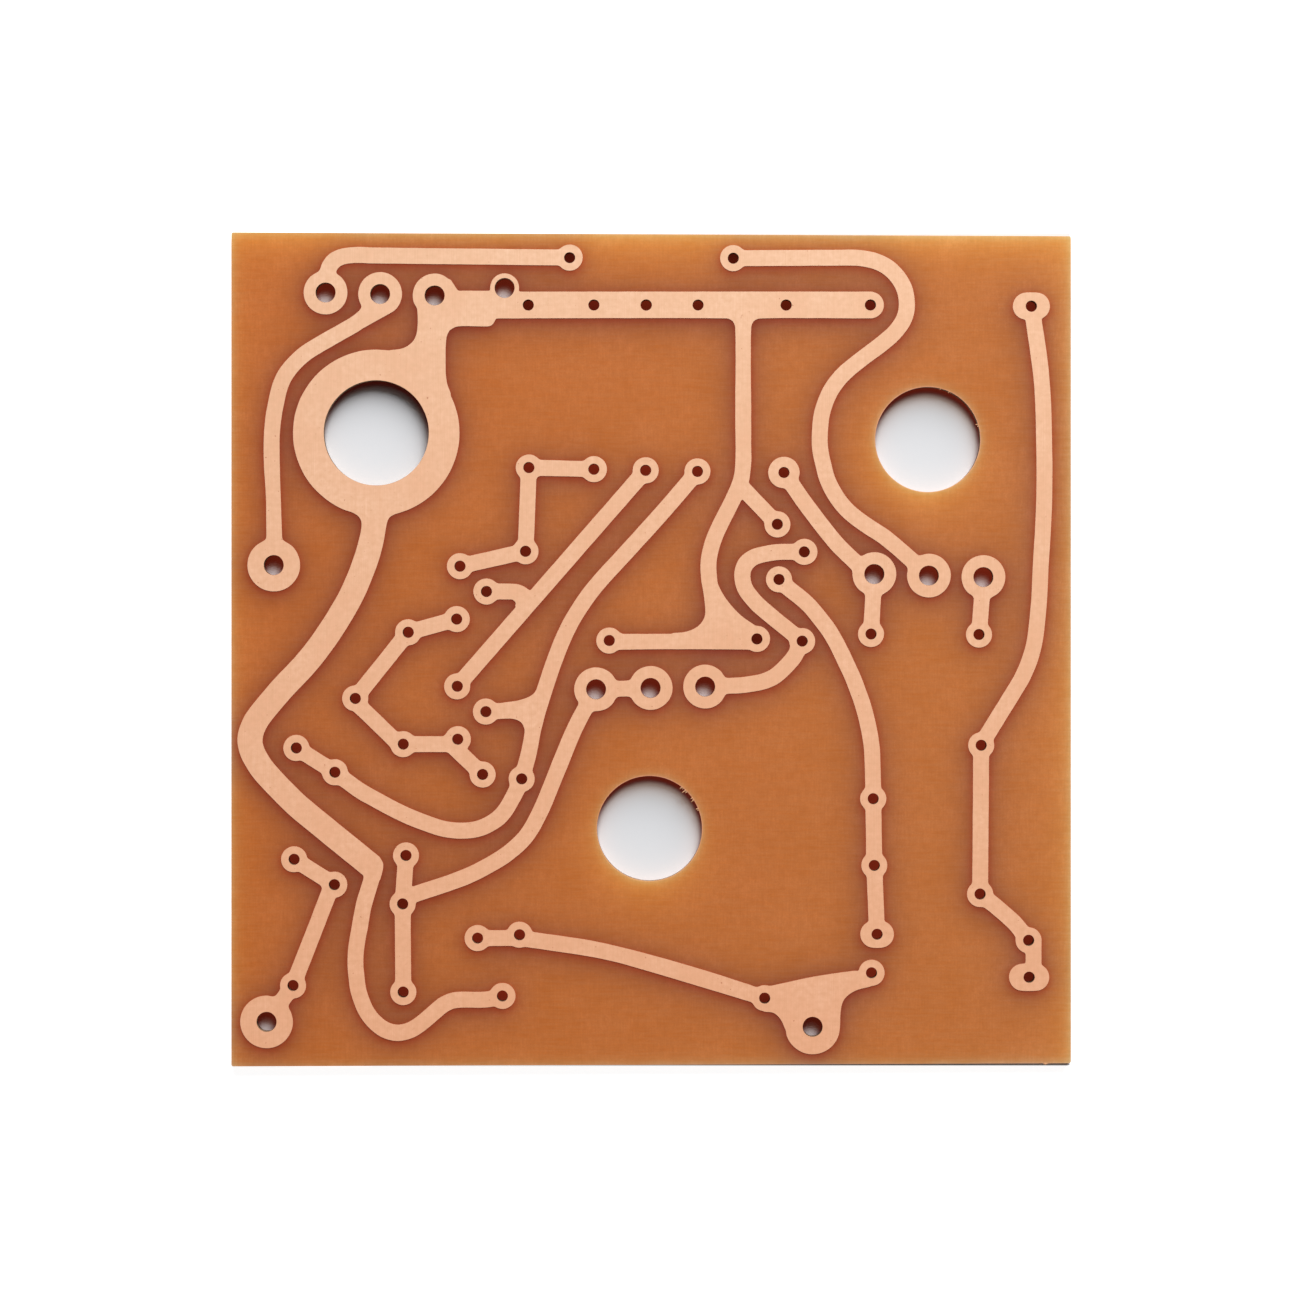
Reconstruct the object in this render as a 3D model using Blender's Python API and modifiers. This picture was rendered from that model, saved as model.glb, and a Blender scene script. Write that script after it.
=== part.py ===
"""Bare etched and drilled circuit board of a guitar pedal.

A sheet of phenolic paper laminate carries sixteen islands of copper foil on its top face.
The artwork is laid out on a grid from its lower left corner, seen from the copper side, and
the board is cut round it with a margin on each side.
The model is in metres, +Z up, copper side up, with its underside at Z = 0.
"""

import math

import bmesh
import bpy
from mathutils import Matrix, Vector

MM = 0.001

# One square of the layout grid that all typed positions count in
GRID = 1.0

# Board
LAMINATE_THICKNESS = 1.6
FOIL_THICKNESS = 0.035
CORNER_RADIUS = 0.15

# Bare laminate left round the artwork, and how far the shears ran out of square
LEFT_MARGIN = 0.55
RIGHT_MARGIN = 1.68
TOP_MARGIN = 1.1
BOTTOM_MARGIN = 1.1
TOP_FALL = 0.35
BOTTOM_RISE = 0.3

# Drills
LEAD_DRILL = 1.0
TERMINAL_DRILL = 1.8
BUSHING_DRILL = 9.53

# Copper round the holes
LEAD_RING = 0.7
WIDE_LEAD_RING = 0.94
WIRE_RING = 1.5
OUTPUT_WIRE_RING = 1.6
SUPPLY_RING = 0.43
BUSHING_RING = 2.8
OVAL_LEAD_RING = 0.74

# Potentiometer footprint: three terminals in a row beside the bushing
TERMINAL_PITCH = 4.95
TERMINAL_PAD_GAP = 0.95

# Tracks
TRACK_WIDTH = 1.46
GROUND_TRACK_WIDTH = 2.25
BUS_WIDTH = 2.45
NECK_FILLET = 0.35
TEE_FILLET = 0.75
RING_FILLET = 1.2

# Facets
LEAD_SIDES = 10
TERMINAL_SIDES = 16
PAD_SIDES = 16
BUSHING_SIDES = 48
CURVE_STEPS = 2
FILLET_STEPS = 2

# The artwork and the drills reach past the foil and the laminate by this much,
# and each shape of the artwork a step further than the one before
OVERSHOOT = 0.5
HEIGHT_STEP = 0.01

# How far tracks run on inside their pads, and fillets inside the tracks
END_OVERLAP = 0.2
SEAM = 0.02
WELD_DISTANCE = 0.001

# Walls that turn by less than this, in degrees, are joined into one face
SPARE_POINT_ANGLE = 2.5

FOIL_BOTTOM = LAMINATE_THICKNESS
FOIL_TOP = LAMINATE_THICKNESS + FOIL_THICKNESS
TERMINAL_PAD = TERMINAL_PITCH - TERMINAL_PAD_GAP


for old_object in list(bpy.data.objects):
    bpy.data.objects.remove(old_object)


def new_collection(name):
    collection = bpy.data.collections.new(name)
    bpy.context.scene.collection.children.link(collection)
    return collection


board_parts = new_collection("guitar_pedal_circuit_board")
cutters = new_collection("cutters")


def principled(name, colour, roughness, metallic):
    material = bpy.data.materials.new(name)
    material.use_nodes = True
    shader = material.node_tree.nodes["Principled BSDF"]
    shader.inputs["Base Color"].default_value = (*colour, 1.0)
    shader.inputs["Roughness"].default_value = roughness
    shader.inputs["Metallic"].default_value = metallic
    return material


phenolic_paper = principled("phenolic_paper", (0.50, 0.15, 0.04), 0.45, 0.0)
bare_copper = principled("bare_copper", (0.88, 0.50, 0.33), 0.40, 1.0)


def link_mesh(name, mesh, collection, material=None):
    thing = bpy.data.objects.new(name, mesh)
    collection.objects.link(thing)
    if material is not None:
        mesh.materials.clear()
        mesh.materials.append(material)
    return thing


def hide_as_cutter(thing):
    thing.hide_render = True
    thing.display_type = "WIRE"


def curve_to_mesh(curve, thickness=None):
    """Mesh of a flat curve, with its caps welded; an open one is thickened to a wall first."""
    maker = bpy.data.objects.new("maker", curve)
    cutters.objects.link(maker)
    if thickness is not None:
        wall = maker.modifiers.new("Width", "SOLIDIFY")
        wall.thickness = thickness * MM
        wall.offset = 0.0
        wall.use_even_offset = True
    depsgraph = bpy.context.evaluated_depsgraph_get()
    mesh = bpy.data.meshes.new_from_object(maker.evaluated_get(depsgraph))
    bpy.data.objects.remove(maker)
    return mesh


def flat_curve(points, bottom, top, closed, smooth=False):
    """A flat curve through points, drawn in millimetres and extruded from bottom to top."""
    curve = bpy.data.curves.new("route", "CURVE")
    curve.dimensions = "2D"
    curve.fill_mode = "BOTH"
    curve.extrude = (top - bottom) / 2 * MM
    curve.resolution_u = CURVE_STEPS
    spline = curve.splines.new("BEZIER" if smooth else "POLY")
    knots = spline.bezier_points if smooth else spline.points
    knots.add(len(points) - 1)
    for knot, (x, y) in zip(knots, points):
        if smooth:
            knot.co = (x * MM, y * MM, 0.0)
            knot.handle_left_type = "AUTO"
            knot.handle_right_type = "AUTO"
        else:
            knot.co = (x * MM, y * MM, 0.0, 1.0)
    spline.use_cyclic_u = closed
    return curve


def arc(centre, radius, start, end, steps):
    """Points of an arc from one angle to another, both ends included."""
    angles = [start + (end - start) * step / steps for step in range(steps + 1)]
    return [centre + radius * Vector((math.cos(angle), math.sin(angle))) for angle in angles]


def lengthened(points):
    """The same route, run on a little past both of its ends."""
    first = points[0] + (points[0] - points[1]).normalized() * END_OVERLAP
    last = points[-1] + (points[-1] - points[-2]).normalized() * END_OVERLAP
    return [first] + points[1:-1] + [last]


class Pad:
    """A round copper land with a drilled hole in its middle."""

    def __init__(self, centre, radius):
        self.centre = centre
        self.radius = radius


def spot(point):
    """A place in millimetres: the middle of a pad, a vector, or a pair of grid positions."""
    if isinstance(point, Pad):
        return point.centre
    if isinstance(point, Vector):
        return point
    return Vector(point) * GRID


class Drilling:
    """Every hole of the board, drilled through laminate and copper alike."""

    def __init__(self):
        self.holes = []

    def add(self, centre, diameter, sides):
        self.holes.append((spot(centre), diameter / 2, sides))

    def build(self):
        shapes = bmesh.new()
        for centre, radius, sides in self.holes:
            add_disc(shapes, centre, radius, sides, -OVERSHOOT, FOIL_TOP + OVERSHOOT)
        mesh = bpy.data.meshes.new("drills")
        shapes.to_mesh(mesh)
        shapes.free()
        drills = link_mesh("drills", mesh, cutters)
        hide_as_cutter(drills)
        return drills


def add_disc(shapes, centre, radius, sides, bottom, top):
    middle = Vector((centre.x, centre.y, (bottom + top) / 2)) * MM
    bmesh.ops.create_cone(
        shapes, cap_ends=True, segments=sides, radius1=radius * MM, radius2=radius * MM,
        depth=(top - bottom) * MM, matrix=Matrix.Translation(middle))


class Artwork:
    """The shapes of one copper island, drawn as overlapping prisms through the foil."""

    def __init__(self, name):
        self.name = name
        self.shapes = bmesh.new()
        self.bottom = FOIL_BOTTOM - OVERSHOOT
        self.top = FOIL_TOP + OVERSHOOT

    def grow(self):
        """Makes the next shape a little taller, so that no two end faces lie in one plane."""
        self.bottom -= HEIGHT_STEP
        self.top += HEIGHT_STEP

    def add_mesh(self, mesh):
        piece = bmesh.new()
        piece.from_mesh(mesh)
        bmesh.ops.remove_doubles(piece, verts=piece.verts, dist=WELD_DISTANCE * MM)
        bmesh.ops.translate(
            piece, verts=piece.verts, vec=(0.0, 0.0, (self.bottom + self.top) / 2 * MM))
        bmesh.ops.recalc_face_normals(piece, faces=piece.faces)
        piece.to_mesh(mesh)
        piece.free()
        self.shapes.from_mesh(mesh)
        bpy.data.meshes.remove(mesh)
        self.grow()

    def disc(self, centre, radius, sides=PAD_SIDES):
        add_disc(self.shapes, spot(centre), radius, sides, self.bottom, self.top)
        self.grow()

    def pad(self, centre, drill, ring, sides):
        pad = Pad(spot(centre), drill / 2 + ring)
        drilling.add(pad.centre, drill, sides)
        self.disc(pad.centre, pad.radius)
        return pad

    def lead(self, x, y, ring=LEAD_RING):
        return self.pad((x, y), LEAD_DRILL, ring, LEAD_SIDES)

    def wire(self, x, y, ring=WIRE_RING):
        return self.pad((x, y), TERMINAL_DRILL, ring, TERMINAL_SIDES)

    def terminal(self, centre):
        return self.pad(centre, TERMINAL_DRILL, (TERMINAL_PAD - TERMINAL_DRILL) / 2,
                        TERMINAL_SIDES)

    def oval_lead(self, x, y, spread):
        """A lead pad drawn out sideways into a slot shape, by its spread to each side."""
        pad = self.lead(x, y, OVAL_LEAD_RING)
        for side in (-1, 1):
            end = pad.centre + Vector((side * spread, 0.0))
            self.disc(end, pad.radius)
            self.strip(pad.centre, end - Vector((side * END_OVERLAP, 0.0)), 2 * pad.radius)
        return pad

    def strip(self, start, end, width):
        """A straight bar of one width between two points."""
        self.add_mesh(curve_to_mesh(flat_curve(
            lengthened([spot(start), spot(end)]), self.bottom, self.top, closed=False), width))

    def patch(self, outline):
        """A flat area inside an outline."""
        self.add_mesh(curve_to_mesh(flat_curve(
            [spot(point) for point in outline], self.bottom, self.top, closed=True)))

    def sweep(self, points, width):
        """A smooth track of one width through several points."""
        self.add_mesh(curve_to_mesh(flat_curve(
            lengthened(points), self.bottom, self.top, closed=False, smooth=True), width))

    def neck(self, pad, toward, width, fillet=NECK_FILLET):
        """Fillets on both sides where a track leaves its pad."""
        if pad.radius <= width / 2:
            return
        along = (toward - pad.centre).normalized()
        across = Vector((-along.y, along.x))
        half_width = width / 2 - SEAM
        offset = half_width + fillet
        reach = math.sqrt((pad.radius - SEAM + fillet) ** 2 - offset ** 2)
        side = [Vector((0.0, half_width))]
        side += arc(Vector((reach, offset)), fillet,
                    math.atan2(-offset, -reach), -math.pi / 2, FILLET_STEPS)
        other_side = [Vector((point.x, -point.y)) for point in reversed(side)]
        self.patch([pad.centre + along * point.x + across * point.y
                    for point in side + other_side])

    def track(self, *stops, width=TRACK_WIDTH, fillet=NECK_FILLET):
        """A track from pad to pad; stops between the ends are points that it passes through."""
        points = [spot(stop) for stop in stops]
        if len(points) == 2:
            self.strip(*points, width)
        else:
            self.sweep(points, width)
        if isinstance(stops[0], Pad):
            self.neck(stops[0], points[1], width, fillet)
        if isinstance(stops[-1], Pad):
            self.neck(stops[-1], points[-2], width, fillet)

    def web(self, corner, one_way, other_way, radius):
        """A fillet in the inner corner between two edges that leave it in two directions."""
        corner = spot(corner)
        one_way = Vector(one_way).normalized()
        other_way = Vector(other_way).normalized()
        middle = (one_way + other_way).normalized()
        half_angle = one_way.angle(other_way) / 2
        centre = corner + middle * radius / math.sin(half_angle)
        start = corner + one_way * radius / math.tan(half_angle) - centre
        turn = start.angle_signed(
            corner + other_way * radius / math.tan(half_angle) - centre)
        first = math.atan2(start.y, start.x)
        edge = arc(centre, radius, first, first - turn, FILLET_STEPS)
        self.patch([corner - middle * TRACK_WIDTH / 4] + edge)

    def build(self):
        mesh = bpy.data.meshes.new(self.name + "_artwork")
        self.shapes.to_mesh(mesh)
        self.shapes.free()
        artwork = link_mesh(self.name + "_artwork", mesh, cutters)
        hide_as_cutter(artwork)
        return artwork


class Potentiometer:
    """Bushing hole and terminal row of one panel control, set square to each other."""

    def __init__(self, bushing, row_middle, tilt_degrees):
        self.bushing = spot(bushing)
        drilling.add(self.bushing, BUSHING_DRILL, BUSHING_SIDES)
        tilt = math.radians(tilt_degrees)
        step = TERMINAL_PITCH * Vector((math.cos(tilt), math.sin(tilt)))
        self.terminals = [spot(row_middle) + step * place for place in (-1, 0, 1)]


drilling = Drilling()

left_control = Potentiometer((13.15, 57.5), (13.5, 70.1), -1.6)
right_control = Potentiometer((63.2, 56.9), (63.3, 44.55), -1.6)
lower_control = Potentiometer((37.95, 21.6), (38.05, 34.35), 1.45)


def top_left_track():
    art = Artwork("copper_top_left_track")
    terminal = art.terminal(left_control.terminals[0])
    lead = art.lead(30.7, 73.4)
    art.track(terminal, (8.7, 72.0), (9.3, 73.1), (10.7, 73.6), (12.5, 73.6))
    art.track((12.5, 73.6), lead)
    return art


def left_track():
    art = Artwork("copper_left_track")
    terminal = art.terminal(left_control.terminals[1])
    wire = art.wire(3.85, 45.5)
    art.track(terminal, (12.2, 68.15), (10.95, 67.2), (7.15, 65.0), (4.95, 62.85),
              (4.15, 60.65), (3.65, 56.3), (3.85, 51.95), (3.9, 48.8), wire)
    art.patch([(12.0, 67.0), (14.25, 68.25), (13.5, 69.5), (11.7, 67.9)])
    return art


def top_right_track():
    art = Artwork("copper_top_right_track")
    lead = art.lead(45.55, 73.35)
    terminal = art.terminal(right_control.terminals[1])
    art.track(lead, (56.0, 73.4))
    art.track((56.0, 73.4), (58.4, 73.1), (60.5, 71.6), (61.3, 69.2), (60.8, 67.4),
              (58.8, 65.4), (55.95, 63.2), (54.2, 60.95), (53.4, 57.4), (53.75, 54.5),
              (54.55, 52.3), (56.25, 50.15), (59.4, 47.95), terminal)
    return art


def right_track():
    art = Artwork("copper_right_track")
    top = art.oval_lead(72.6, 69.0, spread=0.45)
    upper = art.lead(68.05, 29.15)
    lower = art.lead(67.95, 15.65)
    side = art.lead(72.35, 11.45)
    bottom = art.oval_lead(72.4, 8.1, spread=0.6)
    art.track(top, (72.85, 67.45), (73.5, 62.65), (73.75, 56.95), (73.75, 51.0), (73.45, 45.5),
              (73.0, 39.25), (72.5, 37.05), (71.55, 34.9), (68.85, 30.55), upper)
    art.track(upper, lower)
    art.track(lower, (70.95, 13.15), side)
    art.track((72.8, 11.45), (72.8, 8.1))
    return art


def small_zigzag_track():
    art = Artwork("copper_small_zigzag_track")
    leads = [art.lead(32.9, 54.2), art.lead(27.0, 54.35), art.lead(26.7, 46.75),
             art.lead(20.75, 45.4)]
    for start, end in zip(leads, leads[1:]):
        art.track(start, end)
    return art


def long_diagonal_track():
    art = Artwork("copper_long_diagonal_track")
    top = art.lead(37.6, 54.1)
    bottom = art.lead(20.5, 34.5)
    branch = art.lead(23.15, 43.1)
    art.track(top, bottom)
    art.track(branch, (25.2, 43.1))
    art.patch([(25.0, 43.83), (25.9, 43.8), (26.5, 43.6), (27.1, 43.2), (27.2, 41.8),
               (25.7, 41.75), (25.85, 42.05), (25.55, 42.37), (25.0, 42.37)])
    return art


def centre_sweep_track():
    art = Artwork("copper_centre_sweep_track")
    top = art.lead(42.3, 54.0)
    branch = art.lead(23.1, 32.2)
    lower = art.lead(26.35, 26.1)
    left = art.lead(9.4, 26.7)
    end = art.lead(5.9, 28.9)
    art.track(top, (39.1, 50.25), (35.1, 45.85), (33.15, 43.7), (31.55, 41.5), (30.35, 39.35),
              (29.45, 37.15), (28.7, 35.0), (27.4, 30.6), (27.0, 28.45), lower)
    art.track(lower, (25.35, 24.05), (24.05, 22.4), (21.2, 21.4), (17.6, 22.1), (13.35, 24.1),
              (11.5, 25.15), left)
    art.track(left, end)
    art.track(branch, (25.2, 32.3))
    art.patch([(24.6, 33.02), (25.9, 33.2), (26.65, 33.4), (27.25, 33.7), (27.6, 34.05),
               (27.95, 35.0), (28.5, 34.0), (27.4, 30.0), (26.6, 30.1), (26.6, 30.6),
               (26.4, 31.1), (26.05, 31.4), (25.5, 31.55), (24.6, 31.57)])
    return art


def short_diagonal_track():
    art = Artwork("copper_short_diagonal_track")
    top = art.lead(50.15, 53.9, WIDE_LEAD_RING)
    terminal = art.terminal(right_control.terminals[0])
    lead = art.lead(58.05, 39.25)
    art.track(top, (51.1, 52.5), (53.2, 49.6), (56.75, 45.65), terminal)
    art.track(terminal, lead)
    return art


def short_link():
    art = Artwork("copper_short_link")
    terminal = art.terminal(right_control.terminals[2])
    lead = art.lead(67.85, 39.2)
    art.track(terminal, lead)
    return art


def hook_track():
    art = Artwork("copper_hook_track")
    top = art.lead(52.0, 46.7)
    right = art.lead(51.8, 38.6)
    terminal = art.terminal(lower_control.terminals[2])
    art.track(top, (50.6, 46.7), (48.4, 46.5), (46.75, 45.7), (46.4, 44.2), (47.0, 42.8),
              (49.1, 40.8), right)
    art.track(right, (51.15, 37.3), (50.45, 36.45), (49.05, 35.25), (47.05, 34.7),
              (45.3, 34.55), terminal)
    return art


def right_sweep_track():
    art = Artwork("copper_right_sweep_track")
    top = art.lead(49.7, 44.2)
    upper = art.lead(58.25, 24.3)
    lower = art.lead(58.35, 18.25)
    bottom = art.oval_lead(58.6, 12.0, spread=0.3)
    art.track(top, (50.55, 43.4), (52.1, 42.15), (53.35, 40.75), (54.55, 39.05),
              (55.6, 37.0), (56.75, 34.4), (57.7, 31.35), (58.15, 28.5), upper)
    art.track(upper, lower)
    art.track(lower, bottom)
    return art


def lower_sweep_track():
    art = Artwork("copper_lower_sweep_track")
    middle = art.terminal(lower_control.terminals[1])
    first = art.terminal(lower_control.terminals[0])
    top = art.lead(15.85, 19.15)
    left = art.lead(15.55, 14.75)
    bottom = art.lead(15.6, 6.75)
    art.track(middle, first)
    art.track(first, (31.5, 31.35), (30.5, 29.15), (28.75, 24.8), (27.8, 22.65),
              (26.35, 20.45), (23.35, 18.25), (20.4, 16.88), (17.6, 15.95), (15.6, 15.25))
    art.track(top, left)
    art.track(left, bottom)
    return art


def zigzag_track():
    art = Artwork("copper_zigzag_track")
    top = art.lead(20.45, 40.6)
    upper = art.lead(16.05, 39.4)
    left = art.lead(11.25, 33.4)
    lower = art.lead(15.6, 29.25)
    corner = art.lead(20.55, 29.7)
    end = art.lead(22.8, 26.5)
    art.track(top, upper)
    art.track(upper, left)
    art.track((11.15, 33.15), (15.45, 29.0))
    art.track(lower, (19.9, 29.25))
    art.track((19.9, 29.25), end)
    art.neck(corner, spot((19.0, 29.25)), TRACK_WIDTH)
    return art


def lower_left_track():
    art = Artwork("copper_lower_left_track")
    top = art.lead(5.7, 18.8)
    corner = art.lead(9.35, 16.5)
    lower = art.lead(5.6, 7.35)
    wire = art.wire(3.2, 4.05)
    art.track(top, corner)
    art.track((9.15, 16.5), lower)
    art.track(lower, wire)
    return art


def bottom_track():
    art = Artwork("copper_bottom_track")
    end = art.lead(22.35, 11.65)
    left = art.lead(26.15, 11.95)
    middle = art.lead(48.4, 6.2)
    right = art.lead(58.1, 8.5)
    wire = art.wire(52.75, 3.6, OUTPUT_WIRE_RING)
    art.track(end, (26.2, 11.65))
    art.track((26.2, 11.65), (28.6, 11.3), (32.85, 10.65), (38.9, 9.15), (43.5, 7.8), middle)
    art.patch([
        (47.2, 7.15), (49.05, 7.35), (50.8, 7.75), (53.1, 8.2), (56.6, 8.7), right.centre,
        (58.05, 7.25), (56.6, 6.85), (55.6, 6.05), (55.3, 4.95), (55.25, 3.6), wire.centre,
        (50.25, 3.35), (49.85, 4.25), (49.2, 4.85), (48.4, 4.95), (47.65, 5.3), (47.2, 5.95),
        middle.centre])
    return art


def bus_and_ring():
    """The wide rail along the top, the ring of the left control, and all that hangs on them."""
    art = Artwork("copper_bus_and_ring")
    terminal = art.terminal(left_control.terminals[2])
    art.wire(24.8, 70.65, SUPPLY_RING)
    bus_start = spot((18.45, 69.1))
    bus_end = art.lead(58.0, 69.1, (BUS_WIDTH - LEAD_DRILL) / 2)
    for x in (26.95, 32.9, 37.65, 42.35, 50.35):
        drilling.add((x, 69.1), LEAD_DRILL, LEAD_SIDES)
    art.strip(bus_start, bus_end, BUS_WIDTH)
    art.patch([(19.9, 71.45), (20.55, 70.4), (24.0, 70.4), (24.0, 67.85), (23.75, 67.35),
               (23.35, 67.15), (20.5, 67.15), (19.8, 66.8), (19.55, 66.2), (19.45, 64.5),
               (19.55, 62.2), (19.95, 61.0), (17.5, 58.0), (13.5, 60.0), (14.35, 65.0),
               (15.6, 65.2), (16.5, 65.85), (16.85, 66.75), (16.85, 69.0), (17.5, 70.5)])
    ring = Pad(left_control.bushing, BUSHING_DRILL / 2 + BUSHING_RING)
    art.disc(ring, ring.radius, BUSHING_SIDES)
    art.track(ring, (12.95, 49.15), (11.95, 45.25), (9.85, 40.9), (6.7, 36.5), (2.85, 32.2),
              (1.7, 29.8), (2.35, 27.7), (4.05, 25.65), (6.25, 23.45), (12.7, 18.2),
              width=GROUND_TRACK_WIDTH, fillet=RING_FILLET)
    art.patch([(13.5, 18.95), (13.75, 18.55), (13.8, 18.15), (13.7, 17.6), (13.5, 16.85),
               (12.2, 17.2), (12.2, 18.5), (12.6, 19.4)])
    end = art.lead(24.6, 6.4)
    art.track((12.75, 18.0), (12.7, 16.9), (12.05, 14.75), (11.65, 12.55), (11.3, 10.4),
              (11.35, 8.2), (11.8, 6.05), (13.1, 3.95), (15.1, 3.05), (17.15, 3.85),
              (19.1, 5.5), (20.2, 6.0), (21.8, 6.05), (23.4, 6.1), end)
    tee = spot((46.45, 69.1))
    art.strip(tee, (46.45, 59.0), TRACK_WIDTH)
    for side in (-1, 1):
        corner = tee + Vector((side * TRACK_WIDTH / 2, -BUS_WIDTH / 2))
        art.web(corner, (side, 0), (0, -1), TEE_FILLET)
    art.track((46.45, 59.0), (46.45, 56.4), (46.3, 53.4), (45.15, 50.75), (44.15, 48.7),
              (43.45, 46.7), (43.3, 45.05), (43.6, 43.05), (44.8, 40.5))
    branch = art.lead(49.55, 49.2)
    art.track((46.25, 52.65), branch)
    bar_left = art.lead(34.3, 38.65)
    bar_right = art.lead(47.7, 38.8)
    art.track((34.3, 38.53), (47.7, 38.55))
    art.neck(bar_left, spot((40.0, 38.5)), TRACK_WIDTH)
    art.patch([(42.6, 44.35), (42.9, 42.5), (43.0, 41.15), (42.8, 40.5), (42.2, 39.85),
               (41.2, 39.45), (40.0, 39.35), (40.0, 38.6), (47.7, 38.6), (47.65, 39.95),
               (46.3, 40.9), (45.05, 42.25), (44.2, 43.7), (43.95, 45.35)])
    return art


islands = [
    bus_and_ring(), top_left_track(), left_track(), top_right_track(), right_track(),
    small_zigzag_track(), long_diagonal_track(), centre_sweep_track(), short_diagonal_track(),
    short_link(), hook_track(), right_sweep_track(), lower_sweep_track(), zigzag_track(),
    lower_left_track(), bottom_track()]

artworks = [island.build() for island in islands]
drills = drilling.build()


def copper_reach():
    """Lowest and highest corners of all the artwork, in millimetres."""
    points = [vertex.co / MM for artwork in artworks for vertex in artwork.data.vertices]
    low = Vector((min(point.x for point in points), min(point.y for point in points)))
    high = Vector((max(point.x for point in points), max(point.y for point in points)))
    return low, high


reach_low, reach_high = copper_reach()
board_low = reach_low - Vector((LEFT_MARGIN, BOTTOM_MARGIN))
board_high = reach_high + Vector((RIGHT_MARGIN, TOP_MARGIN))
board_middle = (board_low + board_high) / 2


def cut(thing, cutter, operation, overlapping=False):
    boolean = thing.modifiers.new(cutter.name, "BOOLEAN")
    boolean.operation = operation
    boolean.object = cutter
    boolean.solver = "EXACT"
    boolean.use_self = overlapping
    return boolean


def drop_spare_points(thing):
    """Joins the faces that a Boolean left split in one plane, or nearly in one."""
    tidy = thing.modifiers.new("Spare points", "DECIMATE")
    tidy.decimate_type = "DISSOLVE"
    tidy.angle_limit = math.radians(SPARE_POINT_ANGLE)


def foil_sheet(name):
    """The copper foil as laid on the laminate, before it is etched."""
    sheet = bmesh.new()
    size = board_high - board_low
    place = Vector((board_middle.x, board_middle.y, (FOIL_BOTTOM + FOIL_TOP) / 2)) * MM
    shape = Matrix.Diagonal((size.x * MM, size.y * MM, FOIL_THICKNESS * MM, 1.0))
    bmesh.ops.create_cube(sheet, size=1.0, matrix=Matrix.Translation(place) @ shape)
    mesh = bpy.data.meshes.new(name)
    sheet.to_mesh(mesh)
    sheet.free()
    return link_mesh(name, mesh, board_parts, bare_copper)


def laminate_outline():
    """Four corners of the sheared sheet, each broken to a small radius."""
    corners = [
        board_low,
        Vector((board_high.x, board_low.y + BOTTOM_RISE)),
        Vector((board_high.x, board_high.y - TOP_FALL)),
        Vector((board_low.x, board_high.y))]
    outline = []
    for index, corner in enumerate(corners):
        inward = Vector((1 if index in (0, 3) else -1, 1 if index in (0, 1) else -1))
        centre = corner + inward * CORNER_RADIUS
        start = math.pi + index * math.pi / 2
        outline += arc(centre, CORNER_RADIUS, start, start + math.pi / 2, 2)
    return outline


def build_laminate():
    curve = flat_curve(laminate_outline(), 0.0, LAMINATE_THICKNESS, closed=True)
    mesh = curve_to_mesh(curve)
    sheet = bmesh.new()
    sheet.from_mesh(mesh)
    bmesh.ops.remove_doubles(sheet, verts=sheet.verts, dist=WELD_DISTANCE * MM)
    bmesh.ops.translate(sheet, verts=sheet.verts, vec=(0.0, 0.0, LAMINATE_THICKNESS / 2 * MM))
    bmesh.ops.recalc_face_normals(sheet, faces=sheet.faces)
    sheet.to_mesh(mesh)
    sheet.free()
    laminate = link_mesh("laminate", mesh, board_parts, phenolic_paper)
    cut(laminate, drills, "DIFFERENCE")
    drop_spare_points(laminate)
    return laminate


centre_mark = bpy.data.objects.new("board_centre", None)
board_parts.objects.link(centre_mark)
centre_mark.location = (-board_middle.x * MM, -board_middle.y * MM, 0.0)

pieces = [build_laminate()]
for island, artwork in zip(islands, artworks):
    copper = foil_sheet(island.name)
    cut(copper, artwork, "INTERSECT", overlapping=True)
    cut(copper, drills, "DIFFERENCE")
    drop_spare_points(copper)
    pieces.append(copper)

for thing in pieces + artworks + [drills]:
    thing.parent = centre_mark
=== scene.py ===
import math

import bmesh
import bpy
import numpy as np
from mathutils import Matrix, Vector, kdtree
from mathutils.geometry import delaunay_2d_cdt


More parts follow.
